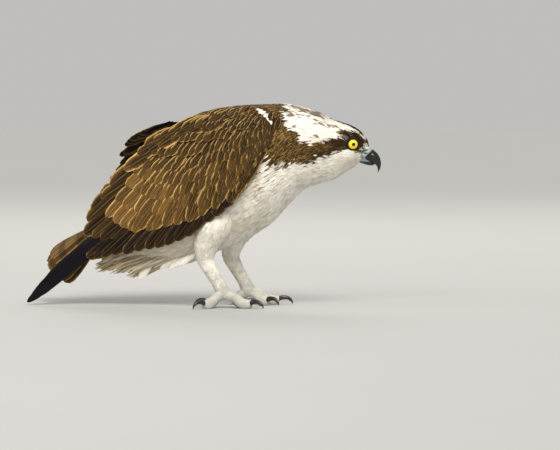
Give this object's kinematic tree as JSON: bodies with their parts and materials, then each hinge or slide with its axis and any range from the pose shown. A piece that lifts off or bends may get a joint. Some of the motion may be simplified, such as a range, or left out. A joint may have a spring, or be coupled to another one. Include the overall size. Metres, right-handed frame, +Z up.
{
  "type": "osprey, standing life-size model",
  "caption": "Life-size still osprey standing on both feet, body level and head stretched forward, wings folded along the tail.",
  "frame": {"origin": "on the ground under the middle of the bird's bounding box", "axes": "+X the way the bird faces, +Y to its left, +Z up"},
  "size_m": [0.5114, 0.1636, 0.2924],
  "materials": {
    "plumage_brown": "dark brown feathers with buff edges",
    "plumage_white": "soft off-white body feathers",
    "horn": "black glossy horn of bill and claws",
    "cere": "blue-grey waxy skin",
    "eye": "wet yellow eye with a black pupil",
    "foot_skin": "pale grey-green scaly skin"
  },
  "bodies": {
    "root": {"torso": "plumage_white", "neck": "plumage_white", "head": "plumage_white", "cere": "cere", "bill_upper": "horn", "bill_lower": "horn", "eye_right": "eye", "eye_left": "eye", "tail": "plumage_brown", "wing_right": "plumage_brown", "thigh_right": "plumage_white", "shank_right": "foot_skin", "toe_inner_right": "foot_skin", "claw_inner_right": "horn", "toe_middle_right": "foot_skin", "claw_middle_right": "horn", "toe_outer_right": "foot_skin", "claw_outer_right": "horn", "toe_hind_right": "foot_skin", "claw_hind_right": "horn", "wing_left": "plumage_brown", "thigh_left": "plumage_white", "shank_left": "foot_skin", "toe_inner_left": "foot_skin", "claw_inner_left": "horn", "toe_middle_left": "foot_skin", "claw_middle_left": "horn", "toe_outer_left": "foot_skin", "claw_outer_left": "horn", "toe_hind_left": "foot_skin", "claw_hind_left": "horn"}
  },
  "joints": []
}
